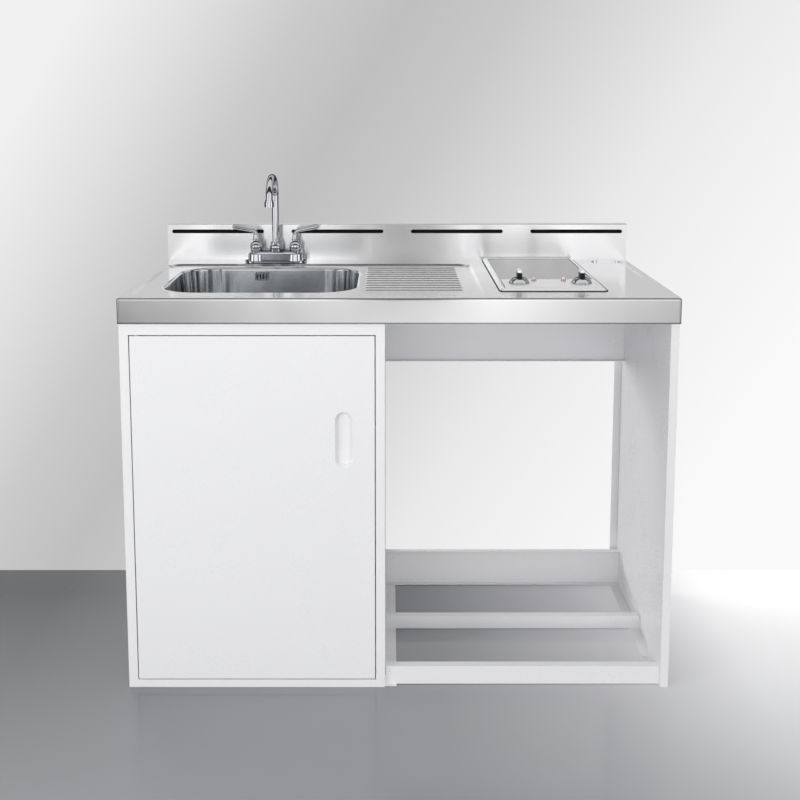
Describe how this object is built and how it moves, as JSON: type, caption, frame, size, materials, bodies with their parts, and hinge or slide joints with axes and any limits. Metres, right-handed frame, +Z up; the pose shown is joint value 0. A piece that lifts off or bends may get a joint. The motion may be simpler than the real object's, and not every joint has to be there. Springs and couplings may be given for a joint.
{
  "type": "kitchenette unit",
  "caption": "Compact steel kitchenette: one pressed worktop with sink, ribbed drainer, lever tap and glass hob over a white sink cabinet and an open refrigerator bay.",
  "frame": {"origin": "on the floor, under the middle of the worktop's width and depth", "axes": "+Z up, -Y towards the user, +X to the user's right"},
  "size_m": [1.219, 0.635, 1.123],
  "materials": {
    "worktop_steel": "brushed, satin",
    "bowl_steel": "satin",
    "splash_steel": "brushed, satin",
    "vent_black": "matt black",
    "chrome": "polished chrome",
    "brass": "raw brass",
    "rubber": "matt",
    "white_plastic": "moulded",
    "hob_steel": "brushed",
    "strip_steel": "satin",
    "hob_glass": "dark glossy ceramic glass",
    "lamp_red": "translucent red",
    "zinc": "zinc-coated sheet",
    "insulation": "pressed ceramic fibre",
    "bakelite": "moulded phenolic",
    "black_plastic": "moulded black",
    "plain_steel": "plain steel",
    "white_enamel": "smooth white enamel"
  },
  "bodies": {
    "root": {"worktop": "worktop_steel", "sink_bowl": "bowl_steel", "splashback": "splash_steel", "splash_vent_liner": "vent_black", "tap_body": "chrome", "spout_collar": "chrome", "waste_body": "chrome", "overflow_rose": "chrome", "overflow_screw": "chrome", "waste_tailpiece": "chrome", "tap_cartridge_hot": "brass", "tap_cartridge_cold": "brass", "tap_shanks": "brass", "waste_locknut": "brass", "waste_gasket": "rubber", "tap_gasket": "rubber", "overflow_pipe": "white_plastic", "tap_locknuts": "white_plastic", "hinge_bushes": "white_plastic", "door_catch": "white_plastic", "hob_surround": "hob_steel", "hob_control_strip": "strip_steel", "hob_glass": "hob_glass", "hob_lamps": "lamp_red", "hob_case": "zinc", "hob_terminal_box": "zinc", "rear_top_rail": "zinc", "hob_element_front": "insulation", "hob_element_rear": "insulation", "hob_regulators": "bakelite", "hob_cable_gland": "black_plastic", "cabinet_left_side": "white_enamel", "cabinet_divider": "white_enamel", "cabinet_face_frame": "white_enamel", "cabinet_floor": "white_enamel", "cabinet_back": "white_enamel", "bay_side_panel": "white_enamel", "bay_top_rail": "white_enamel", "bay_rear_upper": "white_enamel", "bay_rear_lower": "white_enamel", "bay_front_rail": "white_enamel", "bay_middle_rail": "white_enamel", "bay_runners": "white_enamel", "bay_fixings": "white_enamel"},
    "door": {"door_outer": "white_enamel", "door_liner": "white_enamel", "door_pull": "white_enamel", "door_hinge_pins": "plain_steel", "door_strike": "plain_steel"},
    "lever_hot": {"lever_hot": "chrome", "tap_stem_hot": "brass"},
    "lever_cold": {"lever_cold": "chrome", "tap_stem_cold": "brass"},
    "spout": {"spout": "chrome", "aerator": "chrome"},
    "knob_left": {"knob_left": "black_plastic", "regulator_shaft_left": "plain_steel"},
    "knob_right": {"knob_right": "black_plastic", "regulator_shaft_right": "plain_steel"},
    "basket": {"strainer_basket": "chrome"}
  },
  "joints": [
    {"name": "door_hinge", "type": "hinge", "parent": "root", "child": "door", "pos_m": [-0.5698, -0.3077, 0.412], "axis": [0, 0, -1], "range_deg": [0, 110]},
    {"name": "hot_lever_turn", "type": "hinge", "parent": "root", "child": "lever_hot", "pos_m": [-0.3685, 0.2365, 0.95], "axis": [0, 0, 1], "range_deg": [0, 90]},
    {"name": "cold_lever_turn", "type": "hinge", "parent": "root", "child": "lever_cold", "pos_m": [-0.2665, 0.2365, 0.95], "axis": [0, 0, -1], "range_deg": [0, 90]},
    {"name": "spout_swivel", "type": "hinge", "parent": "root", "child": "spout", "pos_m": [-0.3175, 0.2365, 0.95], "axis": [0, 0, 1], "range_deg": [-90, 90]},
    {"name": "left_knob_turn", "type": "hinge", "parent": "root", "child": "knob_left", "pos_m": [0.274, -0.1695, 0.9], "axis": [0, 0, -1], "range_deg": [0, 285]},
    {"name": "right_knob_turn", "type": "hinge", "parent": "root", "child": "knob_right", "pos_m": [0.416, -0.1695, 0.9], "axis": [0, 0, -1], "range_deg": [0, 285]},
    {"name": "basket_lift", "type": "slide", "parent": "root", "child": "basket", "axis": [0, 0, 1], "range_m": [0, 0.06]}
  ]
}
